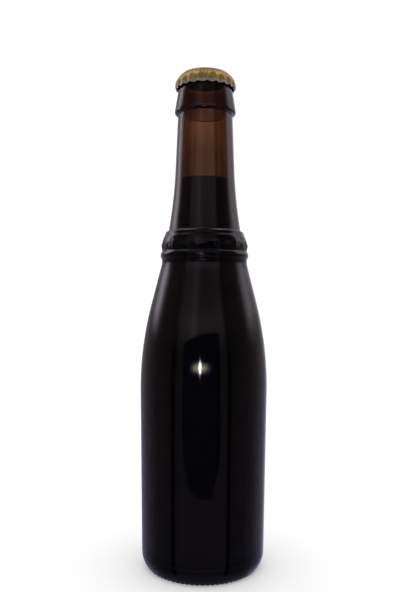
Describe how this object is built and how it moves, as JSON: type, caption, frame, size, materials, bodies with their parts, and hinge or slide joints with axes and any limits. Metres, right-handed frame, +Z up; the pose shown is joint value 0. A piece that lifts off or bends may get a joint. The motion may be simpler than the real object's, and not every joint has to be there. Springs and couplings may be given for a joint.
{
  "type": "beer bottle",
  "caption": "Brown glass beer bottle with a slim neck, a raised collar on the shoulder and a fluted gold crown cap, filled and shut.",
  "frame": {"origin": "centre of the ring that the bottle stands on, on the table's surface", "axes": "+Z up along the bottle's axis, -Y towards the viewer, +X to the viewer's right"},
  "size_m": [0.061, 0.061, 0.2355],
  "materials": {
    "brown_glass": "polished, dark brown",
    "dark_beer": "clear dark brown liquid",
    "gold_cap": "gold lacquer on tinplate, bare steel along the edge"
  },
  "bodies": {
    "root": {"glass": "brown_glass", "beer": "dark_beer", "crown_cap": "gold_cap"}
  },
  "joints": []
}
